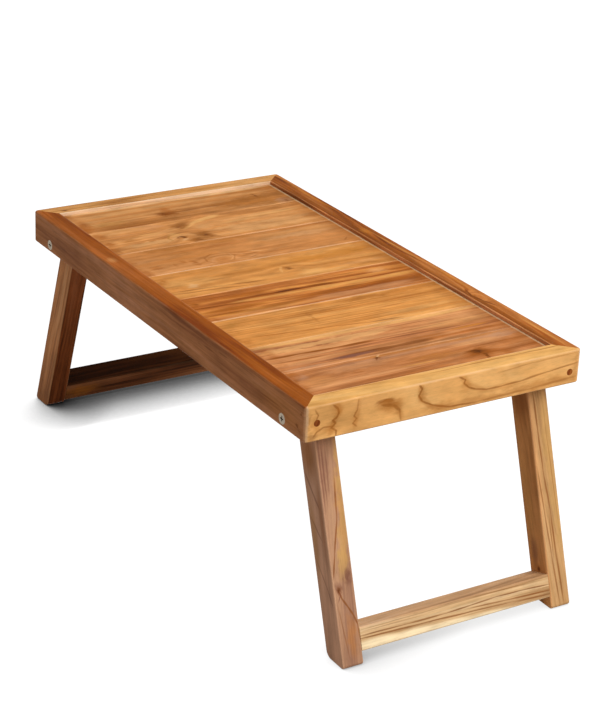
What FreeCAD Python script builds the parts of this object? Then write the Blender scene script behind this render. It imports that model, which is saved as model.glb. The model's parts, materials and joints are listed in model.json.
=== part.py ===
import FreeCAD, Part
import os
import re
import Sketcher

# Folding lap desk: a mitred tray with a boarded deck, on two splayed leg frames that fold flat under it.
# Frame: the origin is on the floor under the middle of the tray, +X runs along the long side towards
# the near end, +Y across to the back side rail and +Z up. The desk stands open.

# Driving sizes: lengths in millimetres, angles in degrees, shares as plain ratios.
SIZES = {
    # Tray: four mitred rails
    "desk_height": 242.5,           # floor to the rail tops
    "tray_length": 554.0,
    "tray_width": 300.0,
    "rail_thickness": 21.0,
    "corner_round": 4.0,            # upright outer corners
    "rail_outer_round": 2.0,        # long outer edges, top and bottom
    "rail_inner_round": 1.0,        # long inner edges, top and bottom
    # Deck: boards across the tray, tongued together and housed in a groove round the rails
    "deck_recess": 3.5,             # rail tops down to the deck
    "board_thickness": 9.0,
    "groove_depth": 7.0,
    "groove_fit": 0.1,              # between a board and the upper lip of the groove
    "board_end_gap": 0.5,           # between a board and the floor of the groove
    "board_joint_gap": 0.2,         # between one board and the next
    "board_bevel": 0.7,             # upper edges of a joint
    "tongue_length": 4.0,
    "tongue_thickness": 3.0,
    "tongue_fit": 0.1,              # above and below a tongue
    # Joints between the boards, as shares of the clear length from the far end
    "joint_1_share": 0.117,
    "joint_2_share": 0.25,
    "joint_3_share": 0.381,
    "joint_4_share": 0.5085,
    "joint_5_share": 0.632,
    "joint_6_share": 0.7685,
    "joint_7_share": 0.89,
    # Corner joints: a screw through each end rail into the side rail, under a wooden plug
    "screw_inset": 12.0,            # from the long side of the tray
    "front_screw_drop": 4.0,        # below the deck groove
    "back_screw_drop": 9.0,         # below the deck groove
    "corner_head_diameter": 6.2,
    "corner_head_height": 2.2,
    "corner_shank_diameter": 3.5,
    "corner_shank_fit": 0.05,
    "corner_tip_length": 4.0,
    "screw_tip_wall": 3.5,          # wood between a corner screw and the pivot's countersink
    "plug_diameter": 6.5,
    "plug_length": 5.0,
    "plug_fit": 0.05,
    # Leg frames: two legs and a stretcher, splayed when open
    "splay_angle": 18.6,
    "pivot_from_end": 39.0,         # end of the tray to the pivot
    "pivot_cover": 7.7,             # pivot down to the lower edge of the rail
    "stop_gap": 0.3,                # between the square leg top and the deck, which stops the leg
    "leg_width": 27.0,
    "leg_thickness": 22.0,
    "leg_side_gap": 1.4,            # between a leg and the side rail
    "leg_edge_round": 1.5,
    "leg_top_round": 2.0,
    "foot_inner_round": 9.0,
    "foot_outer_round": 3.0,
    "stretcher_height": 22.2,       # measured along the leg
    "stretcher_lift": 8.5,          # end of the leg up to the stretcher, along the leg
    "stretcher_inset": 0.3,         # stretcher faces inside the leg faces
    "stretcher_edge_round": 1.5,
    "tenon_length": 12.0,
    "tenon_shoulder": 4.5,          # all round the tenon
    "tenon_fit": 0.05,
    # Pivot hardware: a countersunk screw through the side rail and a washer into each leg
    "pivot_head_diameter": 10.5,
    "pivot_head_sink": 0.2,         # head below the face of the rail
    "pivot_head_fit": 0.15,
    "pivot_shank_diameter": 5.5,
    "pivot_running_fit": 0.06,
    "pivot_grip": 14.0,             # screw inside the leg
    "pivot_grip_fit": 0.05,
    "pivot_tip_length": 4.0,
    "washer_diameter": 14.0,
    "washer_play": 0.2,             # between the washer and the rail
    # Cross recess of a screw, as shares of its head diameter
    "recess_length_share": 0.52,
    "recess_width_share": 0.13,
    "recess_depth_share": 0.16,
    # Every cut runs this far past the wood
    "cut_overrun": 2.0,
}

BOARD_COUNT = 8
MATCH = 1e-4                        # how closely an edge has to lie where it is looked for

# Places that follow from the driving sizes
GROOVE_FLOOR_DROP = "(deck_recess + board_thickness)"
PIVOT_DROP = f"({GROOVE_FLOOR_DROP} + stop_gap + leg_width / 2)"
RAIL_HEIGHT = f"({PIVOT_DROP} + pivot_cover)"
PIVOT_HEIGHT = f"(desk_height - {PIVOT_DROP})"
PIVOT_X = "(tray_length / 2 - pivot_from_end)"
CLEAR_LENGTH = "(tray_length - 2 * rail_thickness)"
CLEAR_WIDTH = "(tray_width - 2 * rail_thickness)"
DECK_REACH = "(groove_depth - board_end_gap)"
MITRE_START = "(corner_round * (1 - sqrt(2) / 2))"
LEG_OUTER = f"({CLEAR_WIDTH} / 2 - leg_side_gap)"
LEG_INNER = f"({LEG_OUTER} - leg_thickness)"
LEG_LENGTH = f"({PIVOT_HEIGHT} / cos(splay_angle))"
STRETCHER_FOOT = f"({LEG_LENGTH} - stretcher_lift)"
STRETCHER_HEAD = f"({STRETCHER_FOOT} - stretcher_height)"
PIVOT_BORE = "(pivot_shank_diameter / 2 + pivot_running_fit)"
SCREW_SEAT = "(plug_length + corner_head_height)"
SCREW_DEPTH = "(pivot_from_end - pivot_head_diameter / 2 - screw_tip_wall)"
SCREW_DROPS = {
    -1: f"({GROOVE_FLOOR_DROP} + front_screw_drop)",
    1: f"({GROOVE_FLOOR_DROP} + back_screw_drop)",
}

UP = FreeCAD.Vector(0, 0, 1)
ACROSS = FreeCAD.Vector(0, 1, 0)
ALONG = FreeCAD.Vector(1, 0, 0)
SIDES = {"front": -1, "back": 1}
ENDS = {"near": 1, "far": -1}


# The sheet and what is bound to it

def make_sheet(document):
    """Put every driving size into a cell of its own, with its name as the alias."""
    table = document.addObject("Spreadsheet::Sheet", "Sizes")
    for row, (name, size) in enumerate(SIZES.items(), start=1):
        table.set(f"A{row}", name)
        table.set(f"B{row}", str(size))
        table.setAlias(f"B{row}", name)
    document.recompute()
    return table


doc = FreeCAD.newDocument("folding_lap_desk")
sheet = make_sheet(doc)
nodes = {}


def bind(item, property_name, expression):
    """Drive a property by the sheet; every alias holds an underscore, and no function does."""
    item.setExpression(property_name, re.sub(r"\b([a-z]+(?:_[a-z0-9]+)+)\b", r"Sizes.\1", expression))


def size_of(expression):
    """The present value of an expression in the sheet's aliases."""
    return float(sheet.evalExpression(expression))


def place(item, x, y, z, axis=UP, angle=0):
    """Turn an item about an axis and bind the place of its origin to the sheet."""
    item.Placement = FreeCAD.Placement(FreeCAD.Vector(), FreeCAD.Rotation(axis, angle))
    for letter, expression in zip("xyz", (x, y, z)):
        bind(item, f"Placement.Base.{letter}", expression)


# Sketches and features

def new_body(label):
    body = doc.addObject("PartDesign::Body", label)
    body.Label = label
    return body


def sketch_on(body, role, name, offset="0"):
    """A sketch on one of the body's own origin planes, moved along the plane's normal."""
    sketch = body.newObject("Sketcher::SketchObject", f"{body.Name}_{name}")
    plane = next(item for item in body.Origin.OriginFeatures if item.Role == role)
    sketch.AttachmentSupport = (plane, [""])
    sketch.MapMode = "FlatFace"
    bind(sketch, "AttachmentOffset.Base.z", offset)
    return sketch


def constrain(sketch, kind, expression, *where):
    """Add one measured constraint and bind it to the sheet."""
    index = sketch.addConstraint(Sketcher.Constraint(kind, *where, size_of(expression)))
    bind(sketch, f"Constraints[{index}]", expression)


def pin_point(sketch, geometry, position, x, y):
    """Hold a point at a place; a zero is held on the sketch's own axis."""
    for kind, axis, expression in (("DistanceX", -2, x), ("DistanceY", -1, y)):
        if expression == "0":
            sketch.addConstraint(Sketcher.Constraint("PointOnObject", geometry, position, axis))
        else:
            constrain(sketch, kind, expression, -1, 1, geometry, position)


def outline(sketch, points, arcs=None):
    """Close an outline through the points; arcs gives a side's centre and radius where it is round."""
    arcs = arcs or {}
    vectors = [FreeCAD.Vector(size_of(x), size_of(y), 0) for x, y in points]
    ends = []
    for side, start in enumerate(vectors):
        stop = vectors[(side + 1) % len(vectors)]
        if side in arcs:
            x, y, radius = arcs[side]
            centre = FreeCAD.Vector(size_of(x), size_of(y), 0)
            turns_left = (start - centre).cross(stop - centre).z > 0
            first, last = (start, stop) if turns_left else (stop, start)
            circle = Part.Circle(centre, UP, size_of(radius))
            arc = Part.ArcOfCircle(circle, circle.parameter(first), circle.parameter(last))
            index = sketch.addGeometry(arc)
            constrain(sketch, "Radius", radius, index)
            ends.append((index, 1, 2) if turns_left else (index, 2, 1))
        else:
            ends.append((sketch.addGeometry(Part.LineSegment(start, stop)), 1, 2))
    for side, (index, begin, _) in enumerate(ends):
        before, _, finish = ends[side - 1]
        sketch.addConstraint(Sketcher.Constraint("Coincident", before, finish, index, begin))
        pin_point(sketch, index, begin, *points[side])


def circle(sketch, x, y, radius):
    """A circle at a place in the sketch."""
    centre = FreeCAD.Vector(size_of(x), size_of(y), 0)
    index = sketch.addGeometry(Part.Circle(centre, UP, size_of(radius)))
    constrain(sketch, "Radius", radius, index)
    pin_point(sketch, index, 3, x, y)


def extrude(body, kind, sketch, length, both_ways=False, backwards=False):
    """A Pad or Pocket of a bound length, to one side of its sketch or shared between both."""
    feature = body.newObject(f"PartDesign::{kind}", f"{sketch.Name}_{kind.lower()}")
    feature.Profile = sketch
    feature.SideType = "Symmetric" if both_ways else "One side"
    feature.Reversed = backwards
    bind(feature, "Length", length)
    sketch.Visibility = False
    doc.recompute()
    return feature


def revolve(body, sketch):
    """A full turn of a half section about the sketch's upright axis."""
    feature = body.newObject("PartDesign::Revolution", f"{sketch.Name}_turned")
    feature.Profile = sketch
    feature.ReferenceAxis = (sketch, ["V_Axis"])
    doc.recompute()
    return feature


def soften(body, kind, size_property, expression, wanted):
    """A Fillet or Chamfer on the edges of the body that a test picks out."""
    tip = body.Tip
    names = [f"Edge{number}" for number, edge in enumerate(tip.Shape.Edges, start=1) if wanted(edge)]
    feature = body.newObject(f"PartDesign::{kind}", f"{tip.Name}_{kind.lower()}")
    feature.Base = (tip, names)
    bind(feature, size_property, expression)
    doc.recompute()
    return feature


def lies_at(edge, **places):
    """Whether every end of an edge lies at the given coordinates."""
    return all(
        abs(getattr(vertex, letter) - size_of(expression)) < MATCH
        for vertex in edge.Vertexes
        for letter, expression in places.items()
    )


def group(label, items):
    """Identical pieces that share one node, as separate solids."""
    compound = doc.addObject("Part::Compound", label)
    compound.Label = label
    compound.Links = items
    nodes[label] = compound


# Tray rails

def rail_blank(label, length):
    """A mitred rail: outer face at Y zero, lower face at Z zero, grooved inside for the deck."""
    body = new_body(label)
    plan = sketch_on(body, "XY_Plane", "plan")
    outline(plan, [
        (f"-{length} / 2 + corner_round", "0"),
        (f"{length} / 2 - corner_round", "0"),
        (f"{length} / 2 - {MITRE_START}", MITRE_START),
        (f"{length} / 2 - rail_thickness", "rail_thickness"),
        (f"-{length} / 2 + rail_thickness", "rail_thickness"),
        (f"-{length} / 2 + {MITRE_START}", MITRE_START),
    ], arcs={
        1: (f"{length} / 2 - corner_round", "corner_round", "corner_round"),
        5: (f"-{length} / 2 + corner_round", "corner_round", "corner_round"),
    })
    extrude(body, "Pad", plan, RAIL_HEIGHT)

    def is_level(edge):
        return lies_at(edge, Z="0") or lies_at(edge, Z=RAIL_HEIGHT)

    def is_outer(edge):
        return is_level(edge) and all(vertex.Y < size_of(MITRE_START) + MATCH for vertex in edge.Vertexes)

    def is_inner(edge):
        return is_level(edge) and lies_at(edge, Y="rail_thickness")

    soften(body, "Fillet", "Radius", "rail_outer_round", is_outer)
    soften(body, "Fillet", "Radius", "rail_inner_round", is_inner)

    groove = sketch_on(body, "YZ_Plane", "groove")
    floor = f"{RAIL_HEIGHT} - {GROOVE_FLOOR_DROP}"
    lip = f"{RAIL_HEIGHT} - deck_recess + groove_fit"
    outline(groove, [
        ("rail_thickness - groove_depth", floor),
        ("rail_thickness + cut_overrun", floor),
        ("rail_thickness + cut_overrun", lip),
        ("rail_thickness - groove_depth", lip),
    ])
    extrude(body, "Pocket", groove, f"{length} + cut_overrun", both_ways=True)
    return body


def side_rail(name, side):
    """A long rail, bored and countersunk for two pivots and bored from its ends for the corner screws."""
    label = f"{name}_side_rail"
    body = rail_blank(label, "tray_length")
    bores = sketch_on(body, "XZ_Plane", "pivots")
    for sign in ("", "-"):
        circle(bores, f"{sign}{PIVOT_X}", "pivot_cover", PIVOT_BORE)
    extrude(body, "Pocket", bores, "rail_thickness + cut_overrun")

    def is_pivot_mouth(edge):
        return isinstance(edge.Curve, Part.Circle) and lies_at(edge, Y="0")

    countersink = f"pivot_head_diameter / 2 + pivot_head_fit + pivot_head_sink - {PIVOT_BORE}"
    soften(body, "Chamfer", "Size", countersink, is_pivot_mouth)

    for end, sign, backwards in (("right", "", False), ("left", "-", True)):
        bore = sketch_on(body, "YZ_Plane", f"{end}_screw", f"{sign}tray_length / 2")
        drop = f"{RAIL_HEIGHT} - {SCREW_DROPS[side]}"
        circle(bore, "screw_inset", drop, "corner_shank_diameter / 2 + corner_shank_fit")
        extrude(body, "Pocket", bore, SCREW_DEPTH, backwards=backwards)
    spin = 0 if side < 0 else 180
    place(body, "0", f"{side} * tray_width / 2", f"desk_height - {RAIL_HEIGHT}", UP, spin)
    nodes[label] = body


def end_rail(name, end):
    """A short rail, counterbored at both ends for a corner screw and its plug."""
    label = f"{name}_end_rail"
    body = rail_blank(label, "tray_width")
    for side_name, side in SIDES.items():
        x = f"{side * end} * (tray_width / 2 - screw_inset)"
        z = f"{RAIL_HEIGHT} - {SCREW_DROPS[side]}"
        shank = sketch_on(body, "XZ_Plane", f"{side_name}_shank")
        circle(shank, x, z, "corner_shank_diameter / 2 + corner_shank_fit")
        extrude(body, "Pocket", shank, "rail_thickness")
        seat = sketch_on(body, "XZ_Plane", f"{side_name}_seat")
        circle(seat, x, z, "plug_diameter / 2 + plug_fit")
        extrude(body, "Pocket", seat, SCREW_SEAT)
    place(body, f"{end} * tray_length / 2", "0", f"desk_height - {RAIL_HEIGHT}", UP, end * 90)
    nodes[label] = body


# Deck boards

def joint_x(number):
    """Where a joint between two boards lies along the tray."""
    return f"({CLEAR_LENGTH} * joint_{number}_share - {CLEAR_LENGTH} / 2)"


def deck_board(number):
    """One board across the tray, grooved on its far edge and tongued on its near edge."""
    label = f"deck_board_{number}"
    is_first = number == 1
    is_last = number == BOARD_COUNT
    if is_first:
        start = f"(-{CLEAR_LENGTH} / 2 - {DECK_REACH})"
    else:
        start = f"({joint_x(number - 1)} + board_joint_gap / 2)"
    if is_last:
        stop = f"({CLEAR_LENGTH} / 2 + {DECK_REACH})"
    else:
        stop = f"({joint_x(number)} - board_joint_gap / 2)"
    width = f"({stop} - {start})"
    top = "board_thickness"
    tongue_low = "(board_thickness - tongue_thickness) / 2"
    tongue_high = "(board_thickness + tongue_thickness) / 2"
    tongue_tip = f"{width} + tongue_length"
    points = [("0", "0"), (width, "0")]
    if is_last:
        points += [(width, top)]
    else:
        points += [(width, tongue_low), (tongue_tip, tongue_low)]
        points += [(tongue_tip, tongue_high), (width, tongue_high)]
        points += [(width, f"{top} - board_bevel"), (f"{width} - board_bevel", top)]
    if is_first:
        points += [("0", top)]
    else:
        slot_low = f"{tongue_low} - tongue_fit"
        slot_high = f"{tongue_high} + tongue_fit"
        points += [("board_bevel", top), ("0", f"{top} - board_bevel")]
        points += [("0", slot_high), ("tongue_length", slot_high)]
        points += [("tongue_length", slot_low), ("0", slot_low)]
    body = new_body(label)
    section = sketch_on(body, "XZ_Plane", "section")
    outline(section, points)
    extrude(body, "Pad", section, f"{CLEAR_WIDTH} + 2 * {DECK_REACH}", both_ways=True)
    place(body, start, "0", f"desk_height - {GROOVE_FLOOR_DROP}")
    nodes[label] = body


# Leg frames, built about the pivot with the leg leaning out along +X

def leg_point(along, outward):
    """A point of the leg's side face: a distance down the leg, and one towards its outer face."""
    return (
        f"({along}) * sin(splay_angle) + ({outward}) * cos(splay_angle)",
        f"({outward}) * sin(splay_angle) - ({along}) * cos(splay_angle)",
    )


def stretcher_section(sketch, shoulder):
    """The stretcher's section square to the leg, drawn in by a shoulder."""
    half = f"leg_width / 2 - stretcher_inset - ({shoulder})"
    head = f"{STRETCHER_HEAD} + ({shoulder})"
    foot = f"{STRETCHER_FOOT} - ({shoulder})"
    outline(sketch, [
        leg_point(foot, f"-({half})"),
        leg_point(foot, half),
        leg_point(head, half),
        leg_point(head, f"-({half})"),
    ])


def stand_at_pivot(body, end):
    """Put a piece of a leg frame at its pivot, turned round for the far end."""
    place(body, f"{end} * {PIVOT_X}", "0", PIVOT_HEIGHT, UP, 0 if end > 0 else 180)


def leg(end_name, end, side_name, side):
    """A leg: square on top where the deck stops it, round where it swings, cut level at the floor."""
    label = f"{end_name}_{side_name}_leg"
    body = new_body(label)
    is_front = side * end < 0
    sign = "" if is_front else "-"
    half = "leg_width / 2"
    top_corner = (f"{half} * (1 - sin(splay_angle)) / cos(splay_angle)", half)
    foot_inner = (f"{PIVOT_HEIGHT} * tan(splay_angle) - {half} / cos(splay_angle)", f"-{PIVOT_HEIGHT}")
    foot_outer = (f"{PIVOT_HEIGHT} * tan(splay_angle) + {half} / cos(splay_angle)", f"-{PIVOT_HEIGHT}")
    face = sketch_on(body, "XZ_Plane", "face", f"{sign}{LEG_INNER}")
    outline(
        face,
        [top_corner, ("0", half), leg_point("0", f"-{half}"), foot_inner, foot_outer],
        arcs={1: ("0", "0", half)},
    )
    extrude(body, "Pad", face, "leg_thickness", backwards=not is_front)

    for (x, z), radius in (
        (top_corner, "leg_top_round"), (foot_inner, "foot_inner_round"), (foot_outer, "foot_outer_round"),
    ):
        soften(body, "Fillet", "Radius", radius, lambda edge: lies_at(edge, X=x, Z=z))

    def is_face_edge(edge):
        return abs(edge.Vertexes[0].Y - edge.Vertexes[-1].Y) < MATCH

    soften(body, "Fillet", "Radius", "leg_edge_round", is_face_edge)

    mortise = sketch_on(body, "XZ_Plane", "mortise", f"{sign}{LEG_INNER}")
    stretcher_section(mortise, "tenon_shoulder - tenon_fit")
    extrude(body, "Pocket", mortise, "tenon_length + tenon_fit", backwards=is_front)
    bore = sketch_on(body, "XZ_Plane", "bore", f"{sign}{LEG_OUTER}")
    circle(bore, "0", "0", "pivot_shank_diameter / 2 + pivot_grip_fit")
    extrude(body, "Pocket", bore, "pivot_grip + pivot_grip_fit", backwards=not is_front)
    stand_at_pivot(body, end)
    nodes[label] = body


def stretcher(end_name, end):
    """The bar between two legs, tenoned into both."""
    label = f"{end_name}_stretcher"
    body = new_body(label)
    bar = sketch_on(body, "XZ_Plane", "bar")
    stretcher_section(bar, "0")
    extrude(body, "Pad", bar, f"2 * {LEG_INNER}", both_ways=True)

    def is_long(edge):
        return edge.Length > size_of(LEG_INNER)

    soften(body, "Fillet", "Radius", "stretcher_edge_round", is_long)
    tenon = sketch_on(body, "XZ_Plane", "tenon")
    stretcher_section(tenon, "tenon_shoulder")
    extrude(body, "Pad", tenon, f"2 * ({LEG_INNER} + tenon_length)", both_ways=True)
    stand_at_pivot(body, end)
    nodes[label] = body


# Hardware, built about +Z with the head up

def cut_recess(body, head, top):
    """A cross recess in a screw head, down from the head's flat top."""
    reach = f"{head} * recess_length_share / 2"
    half = f"{head} * recess_width_share / 2"
    corner = [(reach, half), (half, half), (half, reach)]
    points = []
    for _ in range(4):
        points += corner
        corner = [(f"-({y})", x) for x, y in corner]
    cross = sketch_on(body, "XY_Plane", "recess", top)
    outline(cross, points)
    extrude(body, "Pocket", cross, f"{head} * recess_depth_share")


def pivot_screw(label):
    """A countersunk screw whose plain shank is the hinge pin; Z zero is the outer face of the rail."""
    body = new_body(label)
    head = "pivot_head_diameter / 2"
    shank = "pivot_shank_diameter / 2"
    end = "(rail_thickness + leg_side_gap + pivot_grip)"
    half = sketch_on(body, "XZ_Plane", "half_section")
    outline(half, [
        ("0", "-pivot_head_sink"),
        (head, "-pivot_head_sink"),
        (shank, f"{shank} - {head} - pivot_head_sink"),
        (shank, f"pivot_tip_length - {end}"),
        ("0", f"-{end}"),
    ])
    revolve(body, half)
    cut_recess(body, "pivot_head_diameter", "-pivot_head_sink")
    return body


def corner_screw(label):
    """A flat-headed screw seated in the end rail; Z zero is the end face of the tray."""
    body = new_body(label)
    head = "corner_head_diameter / 2"
    shank = "corner_shank_diameter / 2"
    half = sketch_on(body, "XZ_Plane", "half_section")
    outline(half, [
        ("0", "-plug_length"),
        (head, "-plug_length"),
        (head, f"-{SCREW_SEAT}"),
        (shank, f"-{SCREW_SEAT}"),
        (shank, f"corner_tip_length - {SCREW_DEPTH}"),
        ("0", f"-{SCREW_DEPTH}"),
    ])
    revolve(body, half)
    cut_recess(body, "corner_head_diameter", "-plug_length")
    return body


def plug(label):
    """A wooden plug from the end face of the tray down to the screw head."""
    cylinder = doc.addObject("Part::Cylinder", label)
    bind(cylinder, "Radius", "plug_diameter / 2")
    bind(cylinder, "Height", "plug_length")
    return cylinder


def washer(label):
    """A washer on the pivot, lying on the leg."""
    body = new_body(label)
    ring = sketch_on(body, "XY_Plane", "ring")
    circle(ring, "0", "0", "washer_diameter / 2")
    circle(ring, "0", "0", PIVOT_BORE)
    extrude(body, "Pad", ring, "leg_side_gap - washer_play")
    return body


def corner_joints():
    """A screw and a plug at each corner of the tray."""
    screws = []
    plugs = []
    for end_name, end in ENDS.items():
        for side_name, side in SIDES.items():
            y = f"{side} * (tray_width / 2 - screw_inset)"
            z = f"desk_height - {SCREW_DROPS[side]}"
            screw = corner_screw(f"{end_name}_{side_name}_corner_screw")
            place(screw, f"{end} * tray_length / 2", y, z, ACROSS, end * 90)
            screws.append(screw)
            cover = plug(f"{end_name}_{side_name}_corner_plug")
            place(cover, f"{end} * (tray_length / 2 - plug_length)", y, z, ACROSS, end * 90)
            plugs.append(cover)
    group("corner_screws", screws)
    group("corner_plugs", plugs)


def pivots(end_name, end):
    """The two pivot screws of a leg frame and their washers."""
    screws = []
    washers = []
    for side_name, side in SIDES.items():
        screw = pivot_screw(f"{end_name}_{side_name}_pivot_screw")
        place(screw, f"{end} * {PIVOT_X}", f"{side} * tray_width / 2", PIVOT_HEIGHT, ALONG, -side * 90)
        screws.append(screw)
        ring = washer(f"{end_name}_{side_name}_pivot_washer")
        place(ring, f"{end} * {PIVOT_X}", f"{side} * {LEG_OUTER}", PIVOT_HEIGHT, ALONG, -side * 90)
        washers.append(ring)
    group(f"{end_name}_pivot_screws", screws)
    group(f"{end_name}_pivot_washers", washers)


# Assembly, checks and files

def check_model():
    """Stop before anything is written if a feature failed, a cut missed or a node isn't whole."""
    for item in doc.Objects:
        if "Invalid" in item.State or "Error" in item.State:
            raise RuntimeError(f"{item.Name} failed: {item.State}")
        if item.isDerivedFrom("Sketcher::SketchObject") and not item.FullyConstrained:
            raise RuntimeError(f"{item.Name} isn't fully constrained")
        if item.isDerivedFrom("PartDesign::Pocket"):
            if item.Shape.Volume > item.BaseFeature.Shape.Volume - MATCH:
                raise RuntimeError(f"{item.Name} cuts nothing")
    for label, node in nodes.items():
        if node.Shape.isNull() or not node.Shape.isValid():
            raise RuntimeError(f"{label} has no valid shape")
        wanted = len(node.Links) if node.isDerivedFrom("Part::Compound") else 1
        if len(node.Shape.Solids) != wanted:
            raise RuntimeError(f"{label} has {len(node.Shape.Solids)} solids, not {wanted}")


for side_name, side in SIDES.items():
    side_rail(side_name, side)
for end_name, end in ENDS.items():
    end_rail(end_name, end)
for number in range(1, BOARD_COUNT + 1):
    deck_board(number)
corner_joints()
for end_name, end in ENDS.items():
    for side_name, side in SIDES.items():
        leg(end_name, end, side_name, side)
    stretcher(end_name, end)
    pivots(end_name, end)

doc.recompute()
check_model()
os.makedirs("parts", exist_ok=True)
for label, node in nodes.items():
    node.Shape.exportStep(f"parts/{label}.step")
    print(f"{label}: {len(node.Shape.Solids)} solid(s), {node.Shape.Volume:.0f} mm3")
print(f"rail height {size_of(RAIL_HEIGHT):.2f}, pivot height {size_of(PIVOT_HEIGHT):.2f}")
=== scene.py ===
# %% [markdown]
# # A folding lap desk in oiled teak
#
# The desk is a mitred tray with a deck of eight boards, on two splayed leg frames that fold under it.
# Its solids arrive from the CAD frame with the right shapes, so none is rebuilt here. What makes the real
# desk look the way it does is its wood: every rail, board and leg is a plank of its own, with its own
# colour, grain lines, knots, and pale edges that are partly worn and partly a painted highlight. The
# lesson grows those planks, one finish after another.

# %% Load the desk and note its size
import json
import math
from collections import namedtuple

import bmesh
import bpy
from mathutils import Matrix, Quaternion, Vector


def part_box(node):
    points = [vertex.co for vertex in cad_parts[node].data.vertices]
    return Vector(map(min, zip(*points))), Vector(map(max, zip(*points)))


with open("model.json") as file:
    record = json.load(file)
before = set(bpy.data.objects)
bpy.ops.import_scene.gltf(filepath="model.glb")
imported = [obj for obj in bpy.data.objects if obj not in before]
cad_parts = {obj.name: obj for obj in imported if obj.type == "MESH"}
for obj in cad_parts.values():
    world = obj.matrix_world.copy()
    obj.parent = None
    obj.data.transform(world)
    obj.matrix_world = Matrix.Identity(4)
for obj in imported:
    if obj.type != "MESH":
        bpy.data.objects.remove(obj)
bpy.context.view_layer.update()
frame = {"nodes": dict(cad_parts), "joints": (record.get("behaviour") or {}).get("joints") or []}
nodes = frame["nodes"]

# %% [markdown]
# ## The camera
#
# The picture is taken from above the near corner with a long lens, so the lines of the tray hardly
# converge. The camera could be turned by three angles, but aiming it at a point on the tray and then
# rolling it a little about its own axis is easier to read and to change.

# %% Aim the camera
CAMERA_PLACE = Vector((1.64518, -1.02534, 0.99449))
CAMERA_AIM = Vector((0.19277, -0.10493, 0.24354))
CAMERA_ROLL = math.radians(2.693)
LENS = 103.815
SENSOR = 36.0

camera_data = bpy.data.cameras.new("camera")
camera_data.lens = LENS
camera_data.sensor_width = SENSOR
camera = bpy.data.objects.new("camera", camera_data)
bpy.context.scene.collection.objects.link(camera)
sight = (CAMERA_AIM - CAMERA_PLACE).to_track_quat("-Z", "Y")
camera.rotation_mode = "QUATERNION"
camera.location = CAMERA_PLACE
camera.rotation_quaternion = sight @ Quaternion((0, 0, 1), CAMERA_ROLL)
bpy.context.scene.camera = camera
bpy.context.scene.view_settings.view_transform = "Standard"
print("camera", round((CAMERA_AIM - CAMERA_PLACE).length, 3), "m from the tray")

# %% [markdown]
# ## Shader maths in plain sums
#
# A finish is a sum of many small patterns: bands, lines, pores. Wiring Math nodes one by one hides the
# idea, so a small class wraps a socket, and Python's own signs add the nodes. Everything that isn't a sum
# comes from one method, which takes a node's type, its settings and what goes into its sockets.

# %% A varying value
class Value:
    """A number, colour or vector that varies over a surface."""

    def __init__(self, finish, socket):
        self.finish = finish
        self.socket = socket

    def math(self, operation, *terms):
        return self.finish.add("ShaderNodeMath", {"operation": operation}, dict(enumerate(terms)))

    def sibling(self, name):
        return Value(self.finish, self.socket.node.outputs[name])

    def __add__(self, other):
        return self.math("ADD", self, other)

    def __sub__(self, other):
        return self.math("SUBTRACT", self, other)

    def __rsub__(self, other):
        return self.math("SUBTRACT", other, self)

    def __mul__(self, other):
        return self.math("MULTIPLY", self, other)

    def __pow__(self, power):
        return self.math("POWER", self, power)

    def __abs__(self):
        return self.math("ABSOLUTE", self)

    __radd__ = __add__
    __rmul__ = __mul__


print("a value takes the signs + - * ** and abs")

# %% A finish that collects nodes
NOISE_SHIFT = (7.31, 3.17, 5.53)  # how far one seed moves a point through a noise


class Finish:
    """The nodes of one finish, in a material's tree or the world's."""

    def __init__(self, tree):
        self.tree = tree
        tree.nodes.clear()

    def add(self, kind, settings=(), sockets=(), out=0):
        node = self.tree.nodes.new(kind)
        for key, setting in dict(settings).items():
            if key == "stops":
                fill_ramp(node.color_ramp, setting)
            else:
                setattr(node, key, setting)
        for key, source in dict(sockets).items():
            if isinstance(source, Value):
                self.tree.links.new(source.socket, node.inputs[key])
            else:
                node.inputs[key].default_value = source
        return Value(self, node.outputs[out]) if len(node.outputs) else None

    def step(self, value, low, high):
        sockets = {"Value": value, "From Min": low, "From Max": high}
        return self.add("ShaderNodeMapRange", {"interpolation_type": "SMOOTHSTEP"}, sockets)

    def mix(self, share, first, second):
        settings = {"data_type": "RGBA", "blend_type": "MIX"}
        return self.add("ShaderNodeMix", settings, {0: share, 6: first, 7: second}, out=2)

    def noise(self, spot, detail):
        return self.add("ShaderNodeTexNoise", {}, {"Vector": spot, "Scale": 1.0, "Detail": detail})

    def stretch(self, point, lengths, seed):
        """The point, measured in the given lengths and moved to a fresh place in the noise."""
        scale = [1.0 / length for length in lengths]
        shift = [seed * share for share in NOISE_SHIFT]
        sockets = {0: point, 1: scale, 2: shift}
        return self.add("ShaderNodeVectorMath", {"operation": "MULTIPLY_ADD"}, sockets)

    def join(self, first, second, third):
        return self.add("ShaderNodeCombineXYZ", {}, {0: first, 1: second, 2: third})


def fill_ramp(ramp, stops):
    for number, (place, shade) in enumerate(stops):
        stop = ramp.elements[number] if number < 2 else ramp.elements.new(place)
        stop.position = place
        stop.color = shade


print("a finish adds its nodes, and a seed moves a point by", NOISE_SHIFT)

# %% Materials and colours
def new_material(name):
    material = bpy.data.materials.new(name)
    material.use_nodes = True
    return material, Finish(material.node_tree)


def tone(code):
    """A colour written as a web page writes it, as the linear light that Blender works in."""
    shares = [int(code[place:place + 2], 16) / 255 for place in (1, 3, 5)]
    light = [share / 12.92 if share <= 0.04045 else ((share + 0.055) / 1.055) ** 2.4 for share in shares]
    return (*light, 1.0)


print("mid grey is a light of", round(tone("#808080")[0], 3))

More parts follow.
